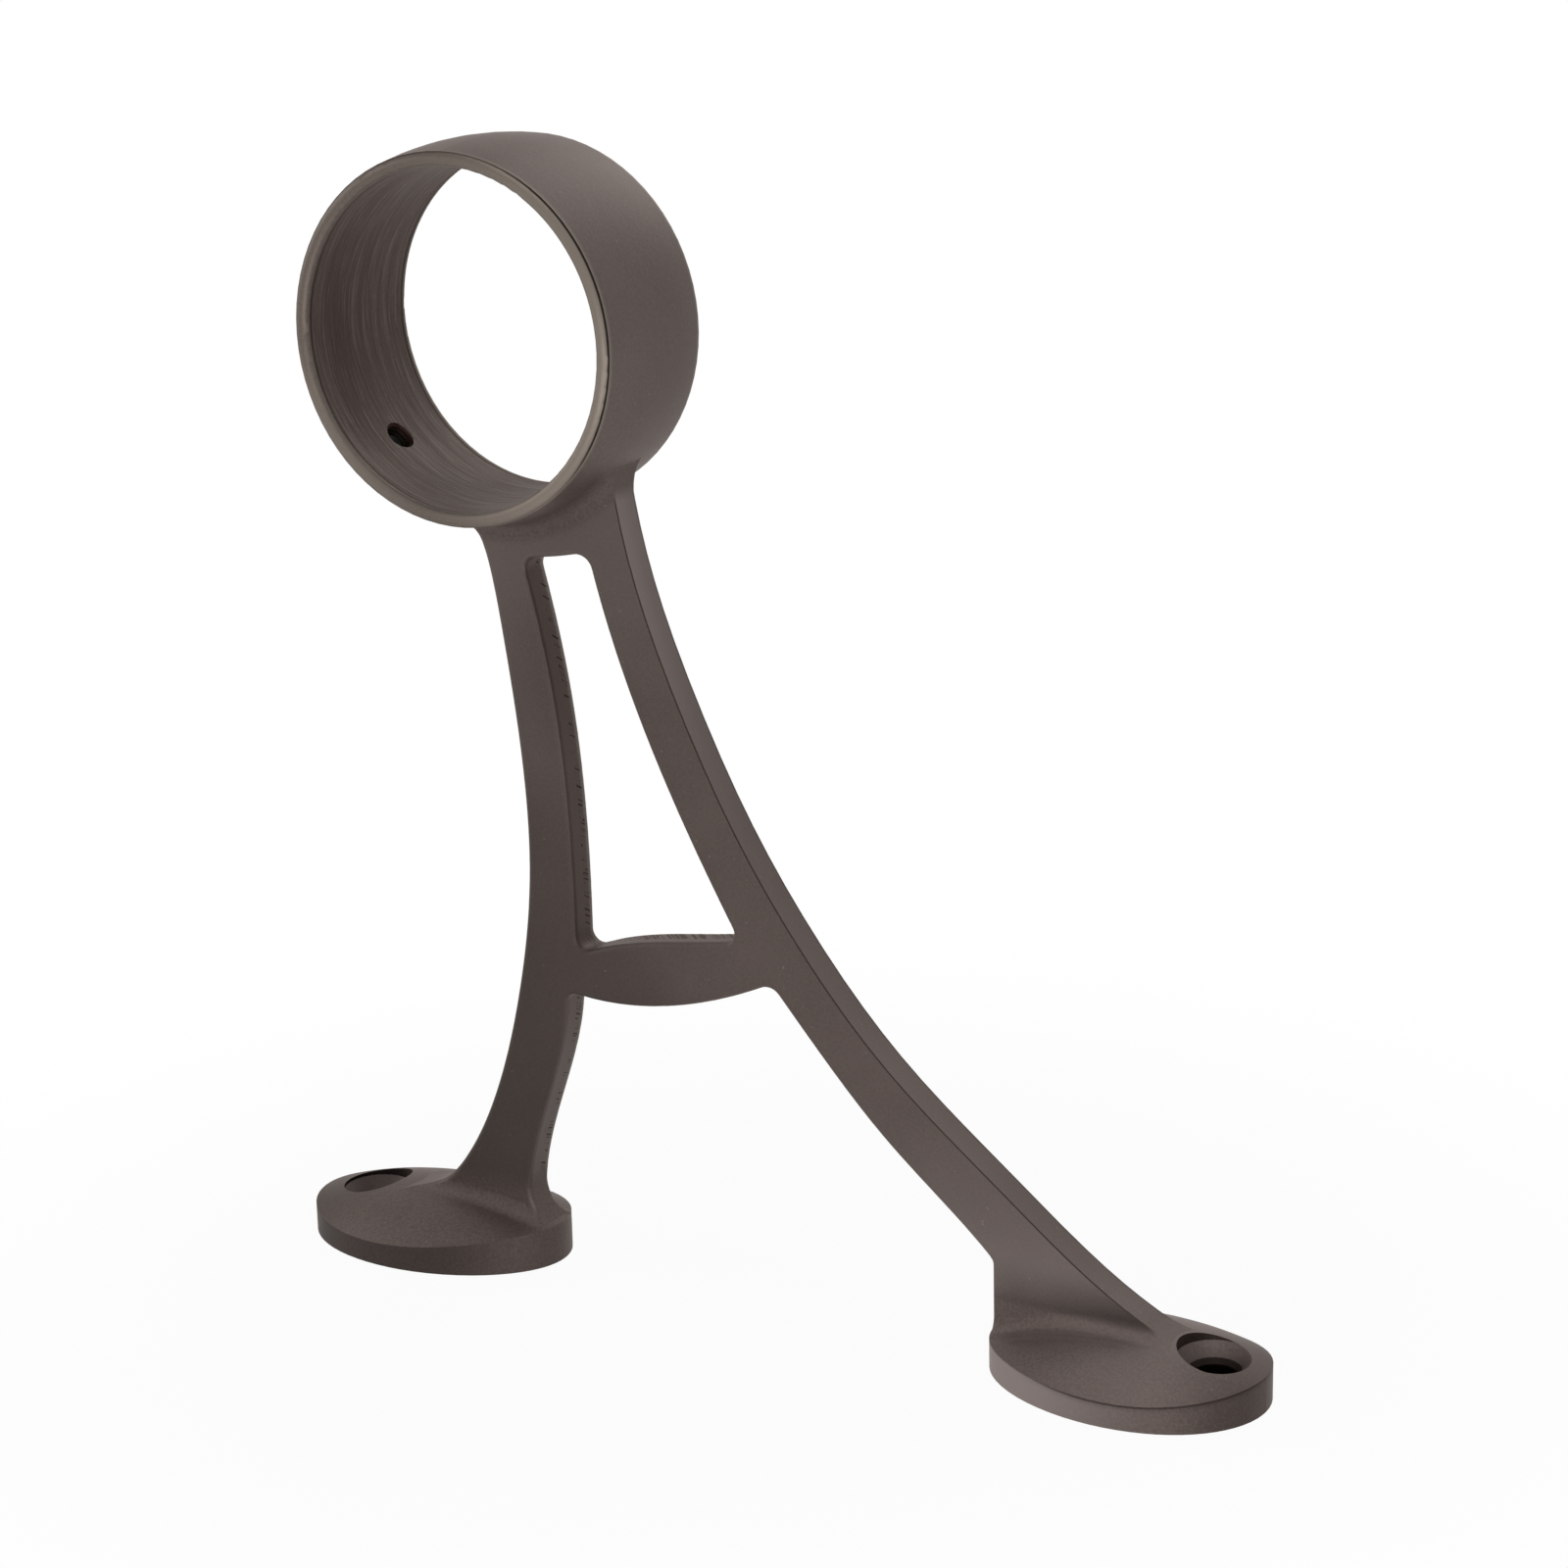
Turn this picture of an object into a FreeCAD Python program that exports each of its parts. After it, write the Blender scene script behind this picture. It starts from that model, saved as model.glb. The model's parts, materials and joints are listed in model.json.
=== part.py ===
import FreeCAD, Part
import math
import os
from FreeCAD import Vector

# Foot rail floor bracket, in mm. Z is up from the floor, Y runs along the rail and X along the A frame.
# The origin is on the floor, midway between the two floor screws.

# Ring that the rail passes through. Its underside stands on the frame.
RAIL_D = 50.8
RAIL_CLEARANCE = 0.2
RING_X = -43.45
RING_UNDER_Z = 120.55
RING_WALL = 3.15
RING_EDGE_WALL = 2.15
RING_EDGE_HALF = 12.4
LIP_R = 1.0
LIP_STEP = 0.8

# A frame: one flat plate with a short leg, a long leg and a bar between them
PLATE_T = 5.6
EDGE_ROUND = 0.8
NECK_BLEND_R = 3.0
NECK_SIDE_R = 4.0
TOE_IN = 0.8
TOE_Z = 16.15

# Domed oval feet
FOOT_X = 60.4
SHORT_FOOT_OUTER = 23.7
SHORT_FOOT_INNER = 21.9
LONG_FOOT_OUTER = 21.8
LONG_FOOT_INNER = 21.7
FOOT_HALF_WIDTH = 15.3
FOOT_EGG = 0.08
DOME_TOP = 9.2
DOME_WIDTH_R = 25.0
SHORT_DOME_R = 75.0
SHORT_DOME_SHIFT = -1.5
LONG_DOME_R = 60.0
LONG_DOME_SHIFT = 1.5
FOOT_BLEND_R = 2.5

# Countersunk holes for the floor screws, out from the middle of each foot
SCREW_OUT = 13.8
SCREW_R = 3.25
SINK_R = 5.65
SINK_ANGLE = 82.0
SHORT_SINK_Z = 2.9
LONG_SINK_Z = 4.3

# Set screw through the ring's wall, low on the short leg's side
SET_ANGLE = 223.3
SET_R = 2.5
SET_PITCH = 0.8
SET_THREAD_DEPTH = 0.43
SET_CLEARANCE = 0.05
SET_LENGTH = 4.0
SET_TURNS = 2
SET_POINT_R = 1.4
SET_CUP_EDGE = 0.2
SET_CUP = 0.6
SET_KEY = 2.5
SET_KEY_DEPTH = 2.0

# Edges of the legs, each point as its share of the way up from a foot to the ring's underside and its
# distance in X from the straight line between them
SHORT_OUTER_SHAPE = [(1.01, -8.52), (0.999, -5.17), (0.982, -3.13), (0.959, -1.56), (0.926, 0.0),
                     (0.859, 2.53), (0.68, 8.28), (0.531, 11.1), (0.377, 10.9), (0.223, 7.91),
                     (0.131, 3.57), (0.09, -0.61), (0.074, -5.98), (0.06, -10.06)]
LONG_OUTER_SHAPE = [(1.044, 26.02), (0.925, 17.16), (0.781, 8.98), (0.637, 2.66), (0.496, -0.89),
                    (0.36, -0.91), (0.231, 4.05), (0.148, 8.11), (0.109, 11.15), (0.077, 14.93),
                    (0.061, 16.73)]
WINDOW_SHORT_SHAPE = [(0.957, 5.29), (0.897, 8.19), (0.771, 13.34), (0.618, 17.72), (0.44, 21.04)]
WINDOW_LONG_SHAPE = [(0.972, 13.25), (0.796, 1.68), (0.652, -5.59), (0.495, -11.79)]
ARCH_SHORT_SHAPE = [(0.388, 6.62), (0.242, 1.69), (0.154, -2.15), (0.109, -3.36)]
ARCH_HEEL_SHAPE = [(0.09, -3.27), (0.073, -2.44), (0.053, -0.64)]
ARCH_LONG_SHAPE = [(0.445, 0.46), (0.382, 1.64), (0.264, 5.06), (0.165, 10.5)]

# Edges across the frame, each point as its share of the way from the short leg and its rise
WINDOW_TOP_SHAPE = [(0.46, -0.31)]
BAR_TOP_SHAPE = [(0.29, 1.14), (0.68, 0.55)]
BAR_BOTTOM_SHAPE = [(0.35, -2.77), (0.66, -2.6)]
WINDOW_ROUNDS = [2.0, 2.7, 2.0, 1.6]
ARCH_ROUNDS = [1.3, 2.6, 2.0]

BORE_R = RAIL_D / 2 + RAIL_CLEARANCE
CROWN_R = BORE_R + RING_WALL
EDGE_R = BORE_R + RING_EDGE_WALL
BARREL_R = (RING_EDGE_HALF ** 2 + (CROWN_R - EDGE_R) ** 2) / (2 * (CROWN_R - EDGE_R))
LIP_HALF = RING_EDGE_HALF + LIP_STEP
HALF_T = PLATE_T / 2
FOOT_LEG_Z = DOME_TOP + 2 * FOOT_BLEND_R
RING_Z = RING_UNDER_Z + CROWN_R
RING_CENTRE = Vector(RING_X, 0, RING_Z)
Y_AXIS = Vector(0, 1, 0)
Z_AXIS = Vector(0, 0, 1)


def up_leg(foot_x, points):
    """(X, Z) places of a leg's points, which follow both its foot and the ring."""
    return [(foot_x + (RING_X - foot_x) * share + side, RING_UNDER_Z * share) for share, side in points]


def across(start, points, end):
    """(X, Z) places from one leg's point to the other leg's."""
    places = [start]
    for share, rise in points:
        x = start[0] + (end[0] - start[0]) * share
        z = start[1] + (end[1] - start[1]) * share
        places.append((x, z + rise))
    return places + [end]


SHORT_OUTER = up_leg(-FOOT_X, SHORT_OUTER_SHAPE)
LONG_OUTER = up_leg(FOOT_X, LONG_OUTER_SHAPE)
WINDOW_SHORT = up_leg(-FOOT_X, WINDOW_SHORT_SHAPE)
WINDOW_LONG = up_leg(FOOT_X, WINDOW_LONG_SHAPE)
ARCH_SHORT = up_leg(SHORT_FOOT_INNER - FOOT_X, ARCH_SHORT_SHAPE)
ARCH_HEEL = [ARCH_SHORT[-1]] + up_leg(SHORT_FOOT_INNER - FOOT_X, ARCH_HEEL_SHAPE)
ARCH_TOE = (FOOT_X - LONG_FOOT_INNER + TOE_IN, TOE_Z)
ARCH_LONG = up_leg(FOOT_X - LONG_FOOT_INNER, ARCH_LONG_SHAPE) + [ARCH_TOE]
WINDOW_TOP = across(WINDOW_SHORT[0], WINDOW_TOP_SHAPE, WINDOW_LONG[0])
BAR_TOP = across(WINDOW_SHORT[-1], BAR_TOP_SHAPE, WINDOW_LONG[-1])
BAR_BOTTOM = across(ARCH_SHORT[0], BAR_BOTTOM_SHAPE, ARCH_LONG[0])


def curve(points):
    """Smooth edge through (X, Z) points in the middle plane of the frame."""
    spline = Part.BSplineCurve()
    spline.interpolate([Vector(x, 0, z) for x, z in points])
    return spline.toShape()


def line(start, end):
    return Part.makeLine(Vector(start[0], 0, start[1]), Vector(end[0], 0, end[1]))


def slab(edges, half):
    """Solid of a closed outline that reaches the same distance to both sides of the frame's middle."""
    face = Part.Face(Part.Wire(Part.__sortEdges__(edges)))
    face.translate(Vector(0, -half, 0))
    return face.extrude(Vector(0, 2 * half, 0))


def round_corners(solid, corners, radii):
    """Rounds the straight edges along Y that stand at the given (X, Z) corners."""
    for (x, z), radius in zip(corners, radii):
        upright = [e for e in solid.Edges if e.BoundBox.YLength > 1]
        edge = min(upright, key=lambda e: math.hypot(e.CenterOfMass.x - x, e.CenterOfMass.z - z))
        solid = solid.makeFillet(radius, [edge])
    return solid


def turned(edges, centre):
    """Solid of a closed section in the YZ plane, turned about the line along Y through the centre."""
    solid = Part.Face(Part.Wire(Part.__sortEdges__(edges))).revolve(Vector(), Y_AXIS, 360)
    solid.translate(centre)
    return solid


def crown(apex, crown_r, reach, base):
    """Section of a crowned band. Z is the distance from the turning axis and apex the band's height on it."""
    rim_z = apex - crown_r + math.sqrt(crown_r ** 2 - reach ** 2)
    rims = [Vector(0, -reach, rim_z), Vector(0, reach, rim_z)]
    feet = [Vector(0, -reach, base), Vector(0, reach, base)]
    return [
        Part.Arc(rims[0], Vector(0, 0, apex), rims[1]).toShape(),
        Part.makeLine(rims[1], feet[1]),
        Part.makeLine(feet[1], feet[0]),
        Part.makeLine(feet[0], rims[0]),
    ]


def standing_plate(apex, crown_r, blend_r, base, top):
    """Section of the frame's plate where it stands on a crowned band, with a hollow blend on both sides."""
    middle = apex - crown_r
    blend_y = HALF_T + blend_r
    blend_z = middle + math.sqrt((crown_r + blend_r) ** 2 - blend_y ** 2)
    share = crown_r / (crown_r + blend_r)
    edges = []
    ends = []
    for side in (-1, 1):
        centre = Vector(0, side * blend_y, blend_z)
        low = Vector(0, side * blend_y * share, middle + (blend_z - middle) * share)
        high = Vector(0, side * HALF_T, blend_z)
        between = centre + ((low - centre) + (high - centre)).normalize() * blend_r
        foot = Vector(0, low.y, base)
        head = Vector(0, high.y, top)
        edges += [Part.makeLine(foot, low), Part.Arc(low, between, high).toShape(), Part.makeLine(high, head)]
        ends.append((foot, head))
    edges.append(Part.makeLine(ends[0][0], ends[1][0]))
    edges.append(Part.makeLine(ends[0][1], ends[1][1]))
    return edges


def make_ring():
    """Short sleeve with a crowned outside and a rounded lip at both ends."""
    lip_y = LIP_HALF - LIP_R
    lip_z = BORE_R + LIP_R
    neck_z = lip_z + math.sqrt(LIP_R ** 2 - (RING_EDGE_HALF - lip_y) ** 2)
    edges = []
    for side in (-1, 1):
        start = Vector(0, side * lip_y, BORE_R)
        tip = Vector(0, side * LIP_HALF, lip_z)
        neck = Vector(0, side * RING_EDGE_HALF, neck_z)
        edges.append(Part.Arc(start, tip, neck).toShape())
        edges.append(Part.makeLine(neck, Vector(0, side * RING_EDGE_HALF, EDGE_R)))
    edges.append(Part.makeLine(Vector(0, -lip_y, BORE_R), Vector(0, lip_y, BORE_R)))
    creases = [Vector(0, side * RING_EDGE_HALF, EDGE_R) for side in (-1, 1)]
    edges.append(Part.Arc(creases[0], Vector(0, 0, CROWN_R), creases[1]).toShape())
    return turned(edges, RING_CENTRE)


def frame_outline():
    """Outer outline of the frame, from the ring's wall down one leg and up the other."""
    wall_r = BORE_R + RING_WALL / 2
    side_x = LONG_OUTER[0][0] + NECK_SIDE_R
    reach = wall_r + RING_WALL / 3 + NECK_SIDE_R
    side_z = RING_Z - math.sqrt(reach ** 2 - (side_x - RING_X) ** 2)
    centre = Vector(side_x, 0, side_z)
    inward = (RING_CENTRE - centre).normalize()
    start = Vector(LONG_OUTER[0][0], 0, side_z)
    end = centre + inward * NECK_SIDE_R
    between = centre + (inward + Vector(-1, 0, 0)).normalize() * NECK_SIDE_R
    deep = end + inward * RING_WALL / 3
    flare = Vector(SHORT_OUTER[0][0], 0, SHORT_OUTER[0][1])
    root = RING_CENTRE + (flare - RING_CENTRE).normalize() * wall_r
    down = ((root - RING_CENTRE) + (deep - RING_CENTRE)).normalize()
    floor_z = -1
    return [
        curve(SHORT_OUTER),
        line(SHORT_OUTER[-1], (SHORT_OUTER[-1][0], floor_z)),
        line((SHORT_OUTER[-1][0], floor_z), (LONG_OUTER[-1][0], floor_z)),
        line((LONG_OUTER[-1][0], floor_z), LONG_OUTER[-1]),
        curve(LONG_OUTER),
        line(LONG_OUTER[0], (start.x, start.z)),
        Part.Arc(start, between, end).toShape(),
        Part.makeLine(end, deep),
        Part.Arc(deep, RING_CENTRE + down * wall_r, root).toShape(),
        Part.makeLine(root, flare),
    ]


def window(half):
    """Opening between the two legs, above the bar."""
    solid = slab([curve(WINDOW_TOP), curve(WINDOW_SHORT), curve(BAR_TOP), curve(WINDOW_LONG)], half)
    corners = [WINDOW_TOP[0], WINDOW_TOP[-1], BAR_TOP[0], BAR_TOP[-1]]
    return round_corners(solid, corners, WINDOW_ROUNDS)


def arch(half):
    """Opening between the two legs, from the bar down to the floor."""
    heel = ARCH_HEEL[-1]
    floor_z = -2
    solid = slab([
        curve(BAR_BOTTOM),
        curve(ARCH_SHORT),
        curve(ARCH_HEEL),
        line(heel, (heel[0], floor_z)),
        line((heel[0], floor_z), (ARCH_TOE[0], floor_z)),
        line((ARCH_TOE[0], floor_z), ARCH_TOE),
        curve(ARCH_LONG),
    ], half)
    return round_corners(solid, [BAR_BOTTOM[0], BAR_BOTTOM[-1], ARCH_TOE], ARCH_ROUNDS)


def make_foot(side, outer, inner, dome_r, dome_shift):
    """Domed oval pad, and the plate of a leg where it stands on the dome. Side is -1 for the short leg."""
    points = []
    steps = 24
    for step in range(steps):
        turn = 2 * math.pi * step / steps
        reach = outer if math.cos(turn) > 0 else inner
        y = FOOT_HALF_WIDTH * math.sin(turn) * (1 + FOOT_EGG * math.cos(turn))
        points.append(Vector(side * (FOOT_X + reach * math.cos(turn)), y, 0))
    oval = Part.BSplineCurve()
    oval.interpolate(points, PeriodicFlag=True)
    pad = Part.Face(Part.Wire(oval.toShape())).extrude(Vector(0, 0, FOOT_LEG_Z))
    centre = Vector(side * (FOOT_X + dome_shift), 0, DOME_TOP - dome_r)
    base = dome_r - DOME_TOP - FOOT_LEG_Z
    dome = turned(crown(dome_r, DOME_WIDTH_R, FOOT_HALF_WIDTH * (1 + FOOT_EGG) + 1, base), centre)
    stem = turned(standing_plate(dome_r, DOME_WIDTH_R, FOOT_BLEND_R, base, dome_r + FOOT_LEG_Z), centre)
    for solid in (dome, stem):
        solid.rotate(centre, Y_AXIS, 180)
    return pad.common(dome), pad.common(stem)


def make_frame(stems):
    """Plate with window and arch, blended into ring and feet. The long leg's outer edges stay sharp."""
    outline = frame_outline()
    neck_r = CROWN_R + NECK_BLEND_R + 1
    section = standing_plate(CROWN_R, BARREL_R, NECK_BLEND_R, BORE_R + RING_WALL / 2, neck_r)
    neck = turned(section, RING_CENTRE).common(slab(outline, RING_EDGE_HALF))
    legs = slab(outline, FOOT_HALF_WIDTH).cut(arch(FOOT_HALF_WIDTH + 1))
    ring_space = Part.makeCylinder(neck_r, PLATE_T + 2, RING_CENTRE - Y_AXIS * (HALF_T + 1), Y_AXIS)
    foot_corner = Vector(-2 * FOOT_X, -HALF_T - 1, -FOOT_LEG_Z)
    foot_space = Part.makeBox(4 * FOOT_X, PLATE_T + 2, 2 * FOOT_LEG_Z, foot_corner)
    openings = [arch(HALF_T + 1), window(HALF_T + 1)]
    plate = slab(outline, HALF_T).cut(openings).cut([foot_space, ring_space])
    frame = plate.fuse([neck] + [stem.common(legs) for stem in stems]).removeSplitter()
    soft = []
    for x, z in (BAR_TOP[1], BAR_BOTTOM[1], SHORT_OUTER[7]):
        for side in (-1, 1):
            point = Part.Vertex(x, side * HALF_T, z)
            soft.append(min(frame.Edges, key=lambda edge: edge.distToShape(point)[0]))
    return frame.makeFillet(EDGE_ROUND, soft)


def floor_screw_hole(x, sink_z):
    """Through hole with a flat-headed screw's seat, which starts at the given height."""
    seat_rise = (SINK_R - SCREW_R) / math.tan(math.radians(SINK_ANGLE / 2))
    hole = Part.makeCylinder(SCREW_R, sink_z + 2, Vector(x, 0, -1), Z_AXIS)
    seat = Part.makeCone(SCREW_R, SINK_R, seat_rise, Vector(x, 0, sink_z), Z_AXIS)
    head = Part.makeCylinder(SINK_R, FOOT_LEG_Z, Vector(x, 0, sink_z + seat_rise), Z_AXIS)
    return hole.fuse([seat, head])


def thread(length, clearance):
    """Ridged rod along Z from 0 to its length, with a ridge at every pitch."""
    half_pitch = SET_PITCH / 2
    heights = [step * half_pitch for step in range(math.ceil(length / half_pitch))] + [length]
    points = [Vector(0, 0, 0)]
    for z in heights:
        from_ridge = abs(z - round(z / SET_PITCH) * SET_PITCH) / half_pitch
        points.append(Vector(SET_R - clearance - SET_THREAD_DEPTH * from_ridge, 0, z))
    points.append(Vector(0, 0, length))
    points.append(points[0])
    return Part.Face(Part.makePolygon(points)).revolve(Vector(), Z_AXIS, 360)


def to_set_screw(solid, radius):
    """Lays a solid along the set screw's line, with its Z zero at a distance from the ring's axis."""
    turn = math.radians(SET_ANGLE)
    out = Vector(math.cos(turn), 0, math.sin(turn))
    solid.Placement = FreeCAD.Placement(RING_CENTRE + out * radius, FreeCAD.Rotation(Z_AXIS, out))
    return solid


def make_casting():
    """Ring, frame and feet in one piece."""
    short_foot = make_foot(-1, SHORT_FOOT_OUTER, SHORT_FOOT_INNER, SHORT_DOME_R, SHORT_DOME_SHIFT)
    long_foot = make_foot(1, LONG_FOOT_OUTER, LONG_FOOT_INNER, LONG_DOME_R, LONG_DOME_SHIFT)
    domes = [short_foot[0], long_foot[0]]
    stems = [short_foot[1], long_foot[1]]
    body = make_ring().fuse([make_frame(stems)] + domes)
    screw_x = FOOT_X + SCREW_OUT
    holes = [floor_screw_hole(-screw_x, SHORT_SINK_Z), floor_screw_hole(screw_x, LONG_SINK_Z)]
    holes.append(to_set_screw(thread(RING_WALL + 2 * SET_PITCH, 0), BORE_R - SET_PITCH))
    return body.cut(holes)


def make_set_screw():
    """Grub screw with a cup point at the rail and a hexagon socket outside."""
    rod = thread(SET_LENGTH, SET_CLEARANCE)
    point = Part.makeCone(SET_POINT_R, SET_POINT_R + SET_LENGTH, SET_LENGTH)
    cup = Part.makeCone(SET_POINT_R - SET_CUP_EDGE, 0, SET_CUP)
    corners = []
    for step in range(7):
        turn = math.radians(60 * step)
        radius = SET_KEY / 2 / math.cos(math.radians(30))
        corners.append(Vector(radius * math.cos(turn), radius * math.sin(turn), SET_LENGTH - SET_KEY_DEPTH))
    socket = Part.Face(Part.makePolygon(corners)).extrude(Vector(0, 0, SET_KEY_DEPTH + 1))
    return to_set_screw(rod.common(point).cut([cup, socket]), BORE_R + SET_TURNS * SET_PITCH)


os.makedirs("parts", exist_ok=True)
make_casting().exportStep("parts/bracket_casting.step")
make_set_screw().exportStep("parts/set_screw.step")
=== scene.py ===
import json
import math

import bpy
from mathutils import Matrix, Vector


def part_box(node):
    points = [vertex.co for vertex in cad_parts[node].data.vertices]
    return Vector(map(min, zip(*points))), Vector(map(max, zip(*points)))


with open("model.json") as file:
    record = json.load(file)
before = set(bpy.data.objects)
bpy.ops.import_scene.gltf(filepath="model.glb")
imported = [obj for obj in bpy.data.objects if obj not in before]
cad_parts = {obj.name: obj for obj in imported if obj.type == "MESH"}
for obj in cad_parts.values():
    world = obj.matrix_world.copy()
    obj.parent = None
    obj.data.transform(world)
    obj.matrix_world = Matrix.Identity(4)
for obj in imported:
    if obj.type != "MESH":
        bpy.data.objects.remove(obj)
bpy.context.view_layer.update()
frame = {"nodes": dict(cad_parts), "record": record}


# Bracket casting: ring, A frame and domed feet, sand cast in brass as one piece. It is blasted to an
# even grain, bored for the rail and plated dark bronze. Its colour also carries painted light and shade.
BRONZE = (0.103, 0.079, 0.0715, 1)
BRONZE_DARK = (0.075, 0.0565, 0.051, 1)
# Tones laid over the plating, for painted light and shade, rubbing, turning lines and trimming cuts
RUBBED_AND_HIGHLIGHT = (0.240, 0.203, 0.172, 1)
PAINTED_LIGHT = (0.240, 0.200, 0.190, 1)
BROWN_SHADE_AND_MARKS = (0.034, 0.016, 0.012, 1)
DARK_SHADE_AND_CUTS = (0.010, 0.007, 0.006, 1)
BRONZE_METAL = 0.35
BRONZE_ROUGHNESS = 0.46

# Sizes of the casting in mm, the unit of all its patterns. X runs from the short leg's foot to the long
# leg's, Y along the rail and Z up.
MM_PER_M = 1000
mounts = {mount["name"]: mount for mount in frame["record"]["mounts"]}
RING_X, _, RING_Z = (MM_PER_M * value for value in mounts["rail_bore"]["pos_m"])
BORE_R = mounts["rail_bore"]["dims"]["r_mm"]
BORE_HALF = mounts["rail_bore"]["dims"]["length_mm"] / 2
LIP_BACK_R = BORE_R + 1.9
RING_END = BORE_HALF + 0.2
RING_REACH = BORE_R + 5
SET_HOLE_R = 2.6
PLATE_HALF = 2.8
FOOT_X = MM_PER_M * mounts["long_foot_base"]["pos_m"][0]
DOME_TOP = 9.2
DOME_WIDTH_R = 25.0
LONG_DOME_R, LONG_DOME_SHIFT = 60.0, 1.5
SHORT_DOME_R, SHORT_DOME_SHIFT = 75.0, -1.5
SCREW_X = mounts["floor_screws"]["dims"]["spacing_x_mm"] / 2
SCREW_R = mounts["floor_screws"]["dims"]["hole_r_mm"]
SINK_R = 5.65

# Heights of the arch's wall, the bar's top and the window's sill
ARCH_LOW, ARCH_HIGH = 16, 47
BAR_LOW, BAR_HIGH = 50, 62
SILL = 53

# Line between the two legs, from a point at the window's top, and its lean to the long leg per mm down
WINDOW_X, WINDOW_Z, WINDOW_LEAN = -33.0, 115.0, 0.28

# Marks of blasting, plating, boring and trimming, as their number per mm, and the depth of their relief
GRAIN = 2.2
CLOUDS = 0.06
SPECKS = 1.3
WIDE_LINES = (0.04, 0.5, 0.04)
FINE_LINES = (0.08, 2.8, 0.08)
SHORT_CUTS = 1.9
CUT_PATCHES = 0.4
WIDE_CUTS = 0.9
RELIEF_M = 0.0001


class Shade:
    """A socket of a material in the making, with the sums that its patterns need."""

    def __init__(self, tree, socket=None):
        self.tree = tree
        self.socket = socket

    def feed(self, node, inputs):
        """Sets the sockets of a node to values, or links them to other sockets."""
        for name, value in inputs.items():
            if isinstance(value, Shade):
                self.tree.links.new(value.socket, node.inputs[name])
            else:
                node.inputs[name].default_value = value

    def node(self, kind, inputs=None, output=0, **settings):
        made = self.tree.nodes.new(kind)
        for name, value in settings.items():
            setattr(made, name, value)
        self.feed(made, inputs or {})
        return Shade(self.tree, made.outputs[output])

    def math(self, operation, first, second=0.0):
        return self.node("ShaderNodeMath", {0: first, 1: second}, operation=operation)

    def __add__(self, other):
        return self.math("ADD", self, other)

    def __sub__(self, other):
        return self.math("SUBTRACT", self, other)

    def __rsub__(self, other):
        return self.math("SUBTRACT", other, self)

    def __mul__(self, other):
        return self.math("MULTIPLY", self, other)

    def __abs__(self):
        return self.math("ABSOLUTE", self)

    __radd__ = __add__
    __rmul__ = __mul__

    def root(self):
        return self.math("SQRT", self)

    def distance(self, other):
        """How far a point is from where both this and the other are 0."""
        return (self * self + other * other).root()

    def most(self, *others):
        """The largest of this and the others."""
        largest = self
        for other in others:
            largest = self.math("MAXIMUM", largest, other)
        return largest

    def fades(self, low, high, start, end):
        """Start where this is below low, end where it is above high, and a soft change between them."""
        inputs = {"Value": self, "From Min": low, "From Max": high, "To Min": start, "To Max": end}
        return self.node("ShaderNodeMapRange", inputs, interpolation_type="SMOOTHSTEP")

    def rises(self, low, high):
        return self.fades(low, high, 0.0, 1.0)

    def falls(self, low, high):
        return self.fades(low, high, 1.0, 0.0)

    def between(self, low, high, soft):
        """1 from low to high, and a soft step to 0 on both sides."""
        return self.rises(low - soft, low) * self.falls(high, high + soft)

    def mix(self, first, second):
        """The first colour where this is 0 and the second where it is 1."""
        inputs = {0: self, 6: first, 7: second}
        return self.node("ShaderNodeMix", inputs, output=2, data_type="RGBA")

    def noise(self, vector, scale, detail=2.0, roughness=0.5):
        inputs = {"Vector": vector, "Scale": scale, "Detail": detail, "Roughness": roughness}
        return self.node("ShaderNodeTexNoise", inputs)

    def streaks(self, along, scale):
        """Noise along one line, for marks that lie side by side."""
        inputs = {"W": along, "Scale": scale, "Detail": 2.0, "Roughness": 0.6}
        return self.node("ShaderNodeTexNoise", inputs, noise_dimensions="1D")

    def stretched(self, vector, shares):
        return self.node("ShaderNodeVectorMath", {0: vector, 1: shares}, operation="MULTIPLY")

    def millimetres(self):
        """The place of a point of the object, in mm."""
        place = self.node("ShaderNodeTexCoord", output="Object")
        return self.node("ShaderNodeVectorMath", {0: place, "Scale": MM_PER_M}, operation="SCALE")

    def axes(self, vector):
        return [self.node("ShaderNodeSeparateXYZ", {0: vector}, output=axis) for axis in range(3)]


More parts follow.
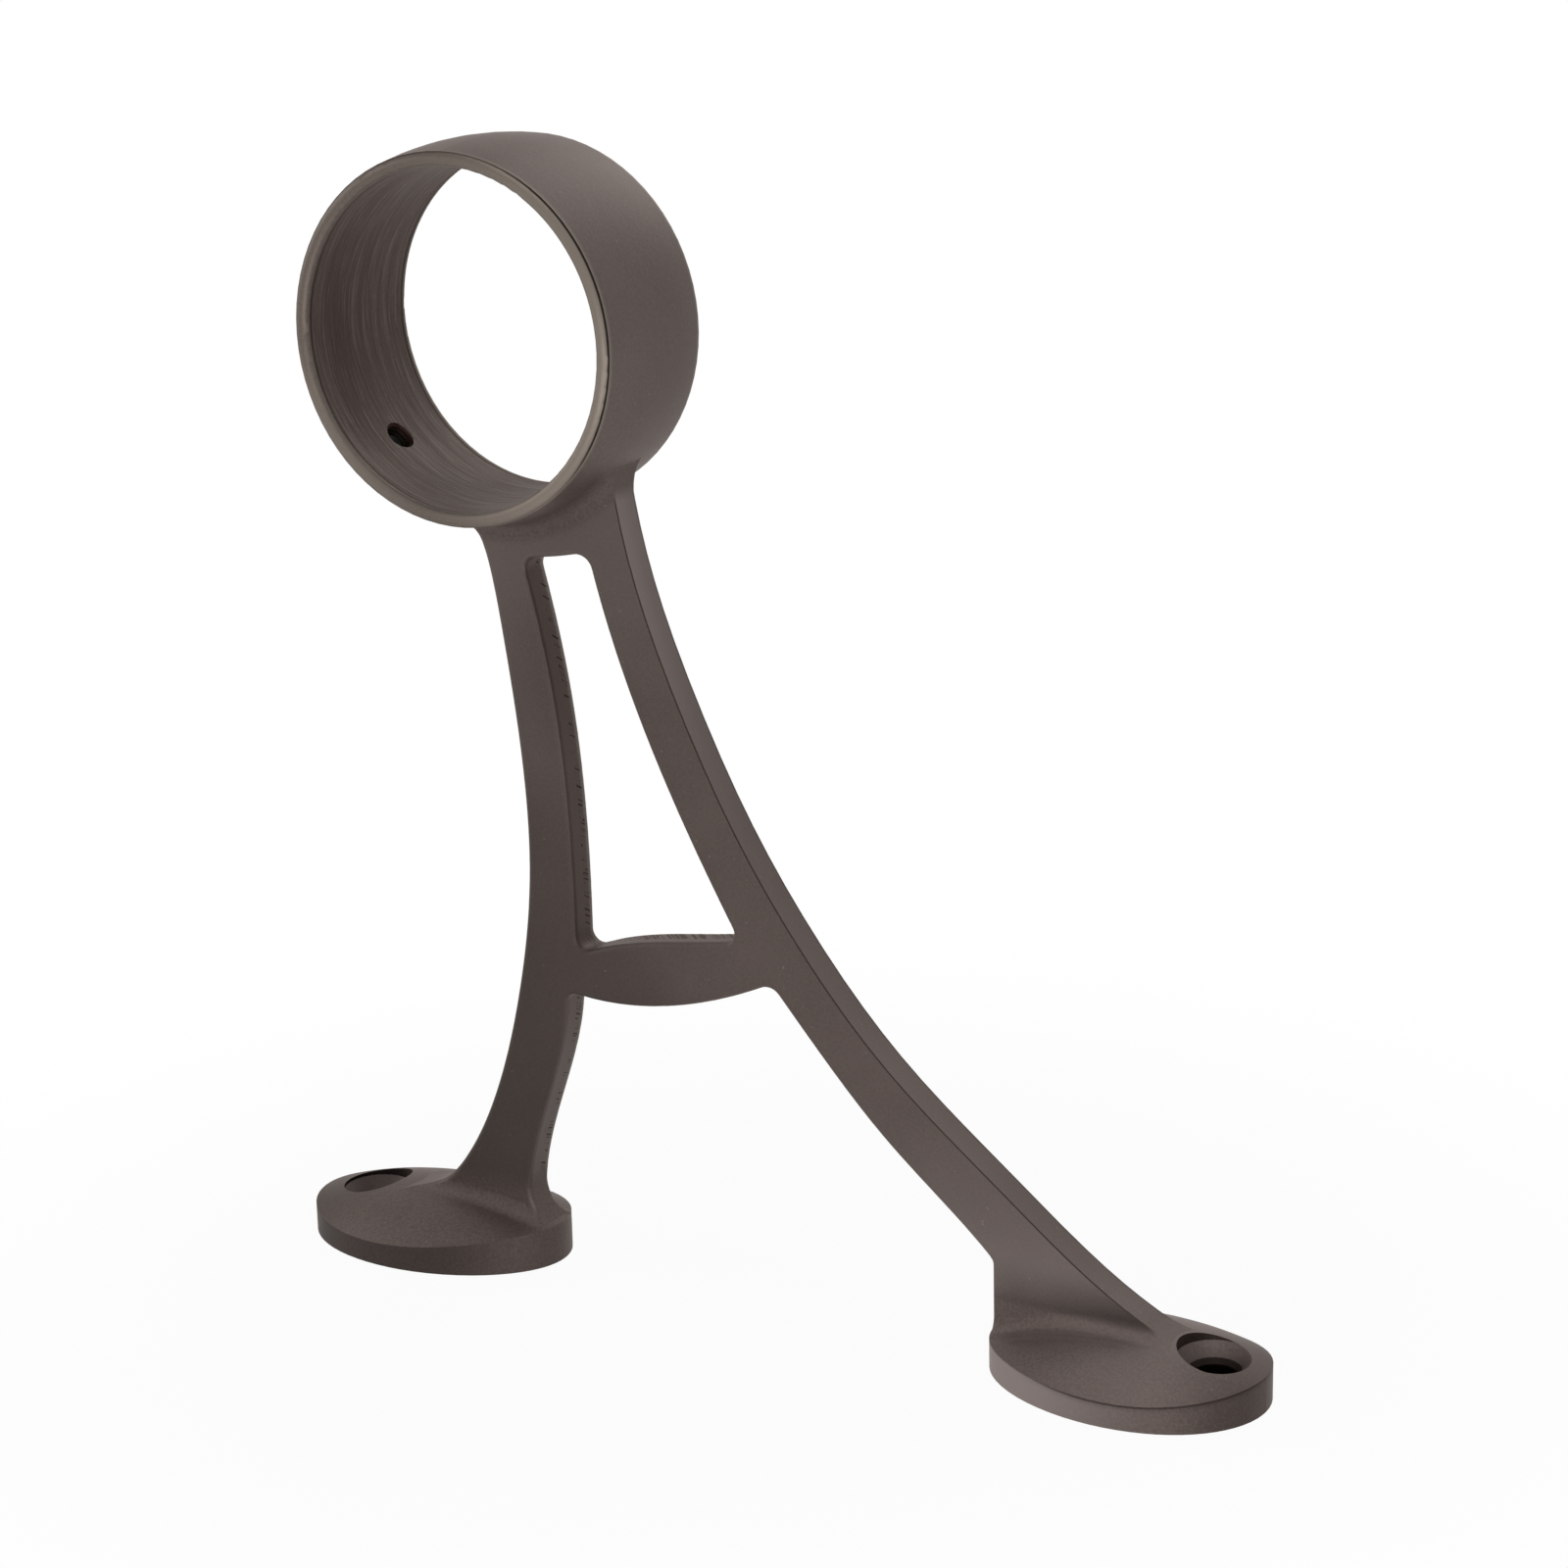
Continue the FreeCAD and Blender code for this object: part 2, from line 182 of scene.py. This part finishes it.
class CastingPlace:
    """Where a point of the casting lies, in mm, and which way its surface faces."""

    def __init__(self, shade):
        self.shade = shade
        self.mm = shade.millimetres()
        self.x, self.y, self.z = shade.axes(self.mm)
        facing = shade.node("ShaderNodeTexCoord", output="Normal")
        self.out_x, self.out_y, self.out_z = shade.axes(facing)
        self.side = abs(self.y)
        self.sideways = abs(self.out_y)
        self.upright = abs(self.out_z).falls(0.2, 0.4)
        self.find_ring()
        self.find_legs()
        self.find_feet()

    def find_ring(self):
        """The ring, and its bored face from lip to lip."""
        self.ring_across = self.x - RING_X
        self.ring_up = self.z - RING_Z
        self.radius = self.ring_across.distance(self.ring_up)
        self.in_ring = self.radius.falls(RING_REACH - 1, RING_REACH)
        self.below_ring = self.radius.rises(RING_REACH, RING_REACH + 2)
        self.bored = self.radius.falls(BORE_R + 0.1, BORE_R + 0.25) * self.side.falls(BORE_HALF, RING_END)

    def find_legs(self):
        """The two legs, the long leg's narrow outer strip, and the walls that were trimmed with a tool."""
        self.off_window = self.x - WINDOW_X - (WINDOW_Z - self.z) * WINDOW_LEAN
        self.on_long_leg = self.off_window.rises(-1, 1)
        self.on_short_leg = 1 - self.on_long_leg
        self.strip = self.out_x.rises(0.25, 0.4) * self.sideways.falls(0.3, 0.6) * self.on_long_leg
        self.above_sill = self.z.rises(SILL, SILL + 3)
        wall = self.sideways.falls(0.5, 0.8) * self.below_ring
        short_wall = wall * self.out_x.rises(0.3, 0.5) * self.on_short_leg
        level_wall = wall * self.out_z.rises(0.5, 0.7) * abs(self.out_x).falls(0.4, 0.6)
        self.window_wall = short_wall * self.above_sill
        self.arch_wall = short_wall * self.z.between(ARCH_LOW, ARCH_HIGH, 3)
        self.bar_wall = level_wall * self.z.between(BAR_LOW, BAR_HIGH, 2)
        self.trimmed = self.window_wall.most(self.arch_wall, self.bar_wall)

    def find_feet(self):
        """The walls of the two feet, and the seats of the floor screws."""
        self.on_long_half = self.x.rises(-1, 1)
        self.under_long_dome = self.under_dome(1, LONG_DOME_R, LONG_DOME_SHIFT)
        self.under_short_dome = self.under_dome(-1, SHORT_DOME_R, SHORT_DOME_SHIFT)
        self.screw_across = self.x + SCREW_X - self.on_long_half * (2 * SCREW_X)
        self.from_screw = self.screw_across.distance(self.y)
        below_top = self.z.falls(DOME_TOP, DOME_TOP + 1)
        self.in_seat = self.from_screw.falls(SINK_R + 0.02, SINK_R + 0.1) * below_top

    def under_dome(self, side, dome_r, dome_shift):
        """How far a point of a foot's wall lies under the foot's dome. Side is -1 for the short leg."""
        across = self.x - side * (FOOT_X + dome_shift)
        up = self.z - (DOME_TOP - dome_r)
        dome = (DOME_WIDTH_R ** 2 - self.y * self.y).root() + (dome_r - DOME_WIDTH_R)
        own_half = (self.x * side).rises(20, 25)
        on_wall = self.upright * own_half * self.z.falls(DOME_TOP, DOME_TOP + 1)
        return (dome - across.distance(up)) * on_wall


def new_material(name, tint, metallic, roughness):
    """A material with one metal shader, and the Shade and shader node that its patterns go into."""
    material = bpy.data.materials.new(name)
    material.use_nodes = True
    material.diffuse_color = tint
    shade = Shade(material.node_tree)
    shader = material.node_tree.nodes["Principled BSDF"]
    shade.feed(shader, {"Base Color": tint, "Metallic": metallic, "Roughness": roughness})
    return material, shade, shader


def laid_over(colour, coats):
    """The colour with coats laid on in turn. Each is how strongly it lies at a point, and its colour."""
    for strength, coat in coats:
        colour = strength.mix(colour, coat)
    return colour


def plating(at, grain, smooth):
    """Dark bronze that follows the grain, less so on smooth faces, with slow clouds and bright specks."""
    cloud_share = 0.35
    clouds = at.shade.noise(at.mm, CLOUDS, 3.0)
    specks = at.shade.noise(at.mm, SPECKS, 1.0).rises(0.76, 0.80)
    grain_strength = 1.5 - smooth * 0.9
    coarse = (grain - 0.5) * grain_strength + 0.5
    patchy = clouds * cloud_share + coarse * (1 - cloud_share)
    return laid_over(patchy.rises(0.34, 0.66).mix(BRONZE_DARK, BRONZE), [(specks * 0.4, RUBBED_AND_HIGHLIGHT)])


def lit_legs(at):
    """Painted light on the long leg's strip, low on that leg, and high on both legs, more so on the short
    one.
    """
    strip_light = at.strip * at.z.fades(70, 125, 0.17, 0.75) * at.y.fades(-2.5, 2.5, 1.05, 0.65)
    low_on_long = at.off_window.rises(-4, 14) * at.z.falls(8, 42) * (1 - at.strip)
    high_on_both = at.z.rises(95, 125)
    high_on_short = at.z.between(85, 112, 12) * at.off_window.falls(-14, -6)
    above_feet = at.below_ring * at.z.rises(9, 13)
    return above_feet * strip_light.most(low_on_long * 0.42, high_on_both * 0.24 + high_on_short * 0.12)


def lit_ring(at):
    """Painted light on the ring's outside, on the long leg's side and more towards the front."""
    outside = at.radius.rises(LIP_BACK_R, LIP_BACK_R + 0.3) * (1 - at.below_ring)
    long_side = at.ring_across.rises(0, 20) * at.ring_up.rises(-20, 0)
    return outside * long_side * at.y.fades(-10, 6, 0.25, 0.09)


def lit_long_foot(at):
    """Painted light on the long leg's foot: the toe of its wall, its dome, most at the back, and along the
    leg.
    """
    top = 1 - at.upright
    toe = at.under_long_dome.rises(0.0, 0.3) * at.x.between(20, 46, 30)
    dome = top * at.x.between(60, 66, 14) * at.z.falls(9, 12)
    along_leg = top * at.side.between(4.7, 5.8, 0.7) * at.x.between(46, 66, 6) * at.z.falls(9.5, 10.5)
    return (toe * 0.95).most(dome * at.y.fades(2, 7, 0.16, 0.46), along_leg * 0.2)


def shaded_legs(at):
    """Painted shade low on the short leg, and where the long leg runs into its foot."""
    low_on_short = at.below_ring * at.off_window.falls(-14, 12) * at.z.rises(9, 15) * at.z.falls(15, 130)
    long_root = at.sideways.rises(0.6, 0.9) * at.z.rises(9.4, 10.8) * at.z.falls(11, 18)
    root_share = at.x.rises(34, 44) * 0.42 + at.x.rises(44, 64) * 0.3
    return (low_on_short * 0.47).most(long_root * root_share)


def shaded_feet(at):
    """Painted shade along the wall of the short leg's foot, and at the outer ends of both feet."""
    wall_share = at.x.fades(-54, -40, 0.58, 0.16) + at.x.falls(-82, -70) * 0.4
    short_wall = at.under_short_dome.rises(0.0, 0.1) * wall_share
    outer_ends = (at.x.rises(70, 83) * 0.35).most(at.x.falls(-84, -68) * 0.5)
    return short_wall.most(at.z.falls(9, 10) * outer_ends)


def turning_lines(at, per_mm, roughness):
    """Lines that the boring tool left round the bore, side by side along the rail."""
    return at.shade.noise(at.shade.stretched(at.mm, per_mm), 1.0, 3.0, roughness)


def bore_coats(at, fine_lines):
    """Bore: painted shade high up and painted light low; a brown band by the short leg; dark and light
    lines.
    """
    high = at.ring_up.rises(-14, 0)
    low = at.ring_up.falls(-22, -14)
    band = at.y.between(-7.5, -2.5, 3) * at.ring_across.falls(-16, 4)
    wide_dark = turning_lines(at, WIDE_LINES, 0.6).falls(0.40, 0.56)
    fine_dark = fine_lines.falls(0.36, 0.50)
    fine_light = fine_lines.rises(0.52, 0.66)
    line_share = at.ring_up.fades(-22, -8, 0.95, 0.5)
    return [
        (at.bored * high * 0.32, BROWN_SHADE_AND_MARKS),
        (at.bored * (wide_dark * 0.35).most(band * 0.58), BROWN_SHADE_AND_MARKS),
        (at.bored * fine_dark * line_share, BROWN_SHADE_AND_MARKS),
        (at.bored * fine_light * line_share * 0.6, RUBBED_AND_HIGHLIGHT),
        (at.bored * low * 0.12, RUBBED_AND_HIGHLIGHT),
    ]


def lip_coats(at, grain):
    """Lip rubbed and painted lighter, most on the long leg's side and low on the other, with brown painted
    shade outside.
    """
    lip = at.in_ring * at.side.rises(BORE_HALF - 0.7, BORE_HALF + 0.5)
    low_on_short_side = at.ring_across.falls(-20, -4) * at.ring_up.falls(-12, 0)
    rub_and_light_share = at.ring_across.fades(-8, 22, 0.35, 0.95) + low_on_short_side * 0.4 + grain * 0.3
    outer_shade = at.radius.rises(BORE_R + 1.1, BORE_R + 1.8) * at.ring_across.falls(-4, 14)
    return [(lip * rub_and_light_share, RUBBED_AND_HIGHLIGHT), (lip * outer_shade * 0.45, BROWN_SHADE_AND_MARKS)]


def lip_edge(at):
    """Painted shade: a dark line where the lip's round meets the bore, on the short leg's side."""
    line = at.side.between(BORE_HALF - 0.7, BORE_HALF - 0.45, 0.25)
    return at.bored * line * at.ring_across.falls(-6, 14)


def lip_joint(at):
    """Painted shade in the thin gap behind the lip, open on the long leg's side and nearly closed on the
    other.
    """
    behind_lip = at.radius.rises(LIP_BACK_R - 0.05, LIP_BACK_R + 0.05)
    gap = at.in_ring * behind_lip * at.side.rises(RING_END - 0.08, RING_END - 0.03)
    open_arc = at.ring_across.rises(4, 17) * at.ring_up.rises(-22, -12)
    return gap * (open_arc * 0.75 + 0.15)


def set_screw_hole(at):
    """Inside of the set screw's threaded hole, whose line runs from the ring's axis to the screw."""
    low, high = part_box("set_screw")
    screw = (low + high) / 2 * MM_PER_M
    out = Vector((screw.x - RING_X, screw.z - RING_Z)).normalized()
    off_line = at.ring_up * out.x - at.ring_across * out.y
    along = at.ring_across * out.x + at.ring_up * out.y
    near = off_line.distance(at.y).falls(SET_HOLE_R - 0.05, SET_HOLE_R + 0.05)
    return near * along.rises(BORE_R - 2, BORE_R - 1) * at.radius.rises(BORE_R + 0.05, BORE_R + 0.2)


def leg_edge_line(at):
    """Painted shade: dark line along both corners of the long leg's strip, darker in front, down to the
    foot.
    """
    corner = at.strip * at.side.rises(PLATE_HALF - 0.45, PLATE_HALF - 0.3)
    above_foot = at.below_ring * at.z.rises(9.6, 11)
    return corner * above_foot * at.y.fades(-1, 1, 0.95, 0.45)


def trimming_cuts(at):
    """Slanted cuts along the back of the trimmed walls, short and in patches, and wider on the bar."""
    short_cuts = at.shade.streaks(at.z + at.x + at.y * 0.5, SHORT_CUTS).rises(0.54, 0.60)
    patches = at.shade.noise(at.mm, CUT_PATCHES, 1.0).rises(0.38, 0.50)
    wide_cuts = at.shade.streaks(at.x + at.y * 0.9, WIDE_CUTS).rises(0.47, 0.53)
    on_walls = at.trimmed * short_cuts * patches * at.y.between(0.2, 1.3, 0.4)
    on_bar = at.bar_wall * wide_cuts * at.y.between(-0.5, 2.1, 0.3) * at.x.rises(-26, -20)
    return on_walls.most(on_bar)


def wall_coats(at):
    """Painted shade: window wall brown, front edge darker. Painted light: arch and bar a little, all at
    the back.
    """
    window_shade = at.window_wall * at.y.falls(1.0, 1.6) * at.z.fades(75, 105, 0.4, 0.65)
    front_edge = at.on_short_leg * at.sideways.between(0.5, 0.9, 0.1) * at.out_x.rises(0.2, 0.4)
    window_edge = front_edge * at.below_ring * at.above_sill
    return [
        (window_shade, BROWN_SHADE_AND_MARKS),
        (window_edge * 0.35, DARK_SHADE_AND_CUTS),
        ((at.arch_wall * 0.15).most(at.bar_wall * 0.1), PAINTED_LIGHT),
        (at.trimmed * at.y.rises(1.3, 1.9) * 0.35, RUBBED_AND_HIGHLIGHT),
    ]


def seat_walls(at):
    """Painted shade on the upright walls of the floor screws' seats, darker on the short leg's side."""
    return at.in_seat * at.upright * at.screw_across.fades(-4, 4, 0.75, 0.25)


def long_foot_hole(at):
    """Painted shade in the screw hole of the long leg's foot, with the lowest rim of its seat."""
    return at.in_seat * at.from_screw.falls(SCREW_R + 0.6, SCREW_R + 0.75) * at.on_long_half


def long_foot_crease(at):
    """Painted shade: dark crease just under the dome's edge, along the outer half of the long leg's foot.
    """
    under = at.under_long_dome
    line = under.falls(0.25, 0.45) * 0.65 + under.falls(0.3, 1.2) * 0.35
    return line * under.rises(0.02, 0.08) * at.x.rises(45, 60)


def finish_bronze():
    material, shade, shader = new_material("dark_bronze", BRONZE, BRONZE_METAL, BRONZE_ROUGHNESS)
    at = CastingPlace(shade)
    grain = shade.noise(at.mm, GRAIN, 3.0, 0.65)
    smooth = at.below_ring * at.z.rises(11, 16)
    fine_lines = turning_lines(at, FINE_LINES, 0.7)
    screw_hole = set_screw_hole(at)
    cuts = trimming_cuts(at)

    # Painted shade in the gaps, creases, holes and corners that no light reaches, and the dark trimming
    # cuts
    shade_and_cuts = lip_joint(at).most(
        lip_edge(at) * 0.7,
        screw_hole * 0.95,
        leg_edge_line(at) * 0.95,
        cuts * 0.95,
        seat_walls(at),
        long_foot_hole(at) * 0.95,
        long_foot_crease(at) * 0.7,
    )

    # Plating first, then painted light and shade, wear and tool marks laid on it
    colour = laid_over(plating(at, grain, smooth), [
        # Painted light on legs, ring and long foot, and painted shade low on the legs and on the feet
        (lit_legs(at).most(lit_ring(at), lit_long_foot(at)), PAINTED_LIGHT),
        (shaded_legs(at).most(shaded_feet(at)), DARK_SHADE_AND_CUTS),
        *bore_coats(at, fine_lines),
        *lip_coats(at, grain),
        *wall_coats(at),
        # Painted light in the seat of the short leg's foot
        (at.in_seat * (1 - at.on_long_half) * 0.3, BRONZE),
        (shade_and_cuts, DARK_SHADE_AND_CUTS),
        # Painted shade in the set screw's hole, brown near the bore
        (screw_hole * at.radius.falls(BORE_R + 0.6, BORE_R + 1.2), BROWN_SHADE_AND_MARKS),
    ])
    height = grain * (0.8 - smooth * 0.5) + at.bored * fine_lines * 1.5 - cuts * 1.5
    relief = {"Height": height, "Strength": 0.5, "Distance": RELIEF_M}
    shade.feed(shader, {
        "Base Color": colour,
        "Metallic": BRONZE_METAL + shade_and_cuts * 0.6,
        "Roughness": BRONZE_ROUGHNESS + grain * 0.12 + at.bored * 0.05,
        "Specular IOR Level": 0.3,
        "Specular Tint": (1.0, 0.86, 0.78, 1),
        "Normal": shade.node("ShaderNodeBump", relief),
    })
    return material


def dress(name, material):
    """Gives a piece of the frame its finish."""
    materials = frame["nodes"][name].data.materials
    materials.clear()
    materials.append(material)


dress("bracket_casting", finish_bronze())


# Set screw: a steel grub screw with a black oxide skin, turned back out of the bore until a rail is
# fitted. The skin is worn thin in small patches.
BLACK_OXIDE = (0.018, 0.017, 0.017, 1)
BARE_STEEL = (0.075, 0.068, 0.062, 1)
STEEL_METAL = 0.9
STEEL_ROUGHNESS = 0.34
STEEL_GRAIN_PER_MM = 4.0
WORN_PATCHES_PER_MM = 1.2
STEEL_RELIEF_M = 0.00005


def finish_black_steel():
    material, shade, shader = new_material("black_steel", BLACK_OXIDE, STEEL_METAL, STEEL_ROUGHNESS)
    mm = shade.millimetres()
    grain = shade.noise(mm, STEEL_GRAIN_PER_MM, 3.0, 0.6)
    wear = shade.noise(mm, WORN_PATCHES_PER_MM).rises(0.5, 0.75)
    relief = {"Height": grain, "Strength": 0.2, "Distance": STEEL_RELIEF_M}
    shade.feed(shader, {
        "Base Color": wear.mix(BLACK_OXIDE, BARE_STEEL),
        "Roughness": STEEL_ROUGHNESS + grain * 0.14,
        "Normal": shade.node("ShaderNodeBump", relief),
    })
    return material


dress("set_screw", finish_black_steel())


# Floor: a plain pale surface that the bracket stands on. It shows white to the camera and in the metal,
# and keeps the soft shadow of the feet. A dark disc of painted shade lies under each floor screw's hole.
# The sizes of its patterns are in mm.
FLOOR_WIDTH_M = 12.0
FLOOR_PAINT = (0.8, 0.8, 0.8, 1)
HOLE_SHADE_DARK = (0.004, 0.004, 0.004, 1)
HOLE_SHADE_R = 5.0
SHADOW_SHARE = 0.05
SHADOW_INNER_R, SHADOW_OUTER_R = 60, 200
WHITE = (1, 1, 1, 1)


def seen_rays(shade):
    """1 for the rays that show a surface to the camera, directly, in metal or through glass."""
    camera_ray, glossy_ray, clear_ray = (
        shade.node("ShaderNodeLightPath", output=name)
        for name in ("Is Camera Ray", "Is Glossy Ray", "Is Transmission Ray")
    )
    return camera_ray.most(glossy_ray, clear_ray)


def finish_floor():
    material = bpy.data.materials.new("pale_floor")
    material.use_nodes = True
    nodes = material.node_tree.nodes
    nodes.remove(nodes["Principled BSDF"])
    shade = Shade(material.node_tree)
    x, y, _ = shade.axes(shade.millimetres())
    # Painted shade: a dark disc on the floor under each floor screw's hole
    hole_shade = (abs(x) - SCREW_X).distance(y).falls(HOLE_SHADE_R, HOLE_SHADE_R + 0.5)
    lit = shade.node("ShaderNodeBsdfDiffuse", {"Color": hole_shade.mix(FLOOR_PAINT, HOLE_SHADE_DARK)})
    white = shade.node("ShaderNodeEmission", {"Color": WHITE, "Strength": 1.0})
    white_share = x.distance(y).fades(SHADOW_INNER_R, SHADOW_OUTER_R, 1 - SHADOW_SHARE, 1.0)
    shown = seen_rays(shade) * (1 - hole_shade) * white_share
    surface = shade.node("ShaderNodeMixShader", {0: shown, 1: lit, 2: white})
    shade.feed(nodes["Material Output"], {"Surface": surface})
    return material


bpy.ops.object.select_all(action="DESELECT")
bpy.ops.mesh.primitive_plane_add(size=FLOOR_WIDTH_M, location=(0, 0, 0))
floor = bpy.context.object
floor.name = "floor"
floor.data.materials.append(finish_floor())


# Studio light: a white room with large soft boxes above, on the left and behind, and two small ones low
# in front of the bracket that lift the long leg and its foot. Places and widths are in metres.
ROOM_GREY = (0.04, 0.04, 0.04, 1)
BRACKET_MIDDLE = Vector((-0.01, 0, 0.08))
LARGE_BOX = 0.5


def add_soft_box(name, place, width, watts):
    """A square lamp that faces the bracket and doesn't show in the picture."""
    bpy.ops.object.light_add(type="AREA", location=place)
    lamp = bpy.context.object
    lamp.name = name
    lamp.data.shape = "SQUARE"
    lamp.data.size = width
    lamp.data.energy = watts
    lamp.rotation_euler = (BRACKET_MIDDLE - Vector(place)).to_track_quat("-Z", "Y").to_euler()
    lamp.visible_camera = False


add_soft_box("soft_box_top", (0, 0, 0.9), LARGE_BOX, 1.8)
add_soft_box("soft_box_left", (-0.8, -0.2, 0.4), LARGE_BOX, 2.2)
add_soft_box("soft_box_back", (0, 0.7, 0.6), LARGE_BOX, 1.3)
add_soft_box("soft_box_foot", (0.16, -0.2, 0.05), 0.08, 0.3)
add_soft_box("soft_box_front", (0.03, -0.22, 0.05), 0.1, 0.06)

room = bpy.data.worlds.new("studio_room")
room.use_nodes = True
room_shade = Shade(room.node_tree)
room_colour = seen_rays(room_shade).mix(ROOM_GREY, WHITE)
room_shade.feed(room.node_tree.nodes["Background"], {"Color": room_colour})
bpy.context.scene.world = room


# Camera: a long lens, a little above the ring and to the right of the rail's line. Its place is in
# metres, and it is turned round the bracket, tipped down to it and rolled a little.
CAMERA_AT = Vector((0.2692, -0.45716, 0.23979))
CAMERA_LENS_MM = 85.5
CAMERA_SENSOR_MM = 36.0
CAMERA_AZIMUTH = math.radians(30.092)
CAMERA_ELEVATION = math.radians(16.372)
CAMERA_ROLL = math.radians(-1.325)

bpy.ops.object.camera_add()
camera = bpy.context.object
camera.name = "camera"
camera.data.lens = CAMERA_LENS_MM
camera.data.sensor_width = CAMERA_SENSOR_MM
turned = Matrix.Rotation(CAMERA_AZIMUTH, 4, "Z")
tipped = Matrix.Rotation(math.pi / 2 - CAMERA_ELEVATION, 4, "X")
rolled = Matrix.Rotation(CAMERA_ROLL, 4, "Z")
camera.matrix_world = Matrix.Translation(CAMERA_AT) @ turned @ tipped @ rolled
bpy.context.scene.camera = camera
bpy.context.scene.view_settings.view_transform = "Standard"
